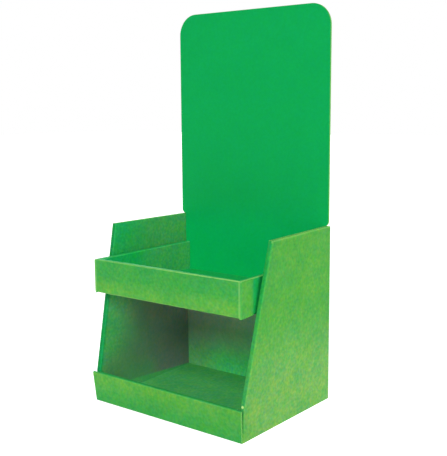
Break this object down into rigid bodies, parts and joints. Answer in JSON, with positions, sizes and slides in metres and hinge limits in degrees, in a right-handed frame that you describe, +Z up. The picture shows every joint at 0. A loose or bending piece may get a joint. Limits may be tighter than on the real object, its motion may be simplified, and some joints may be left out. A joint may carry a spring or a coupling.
{
  "type": "cardboard display stand",
  "caption": "Open-front counter display stand of folded printed board, with a base tray, a shelf tray between sloping side walls and a tall rounded header card.",
  "frame": {"origin": "on the counter under the middle of the stand, halfway between the leaning top of the front lip and the back panel", "axes": "+Z up along the header card, -Y out of the open front, +X to the right seen from the front"},
  "size_m": [0.3146, 0.2343, 0.621],
  "materials": {
    "printed_board": "printed, satin",
    "header_board": "printed, satin"
  },
  "bodies": {
    "root": {"body_shell": "printed_board", "base_tray": "printed_board", "shelf_tray": "printed_board", "header_card": "header_board"}
  },
  "joints": []
}
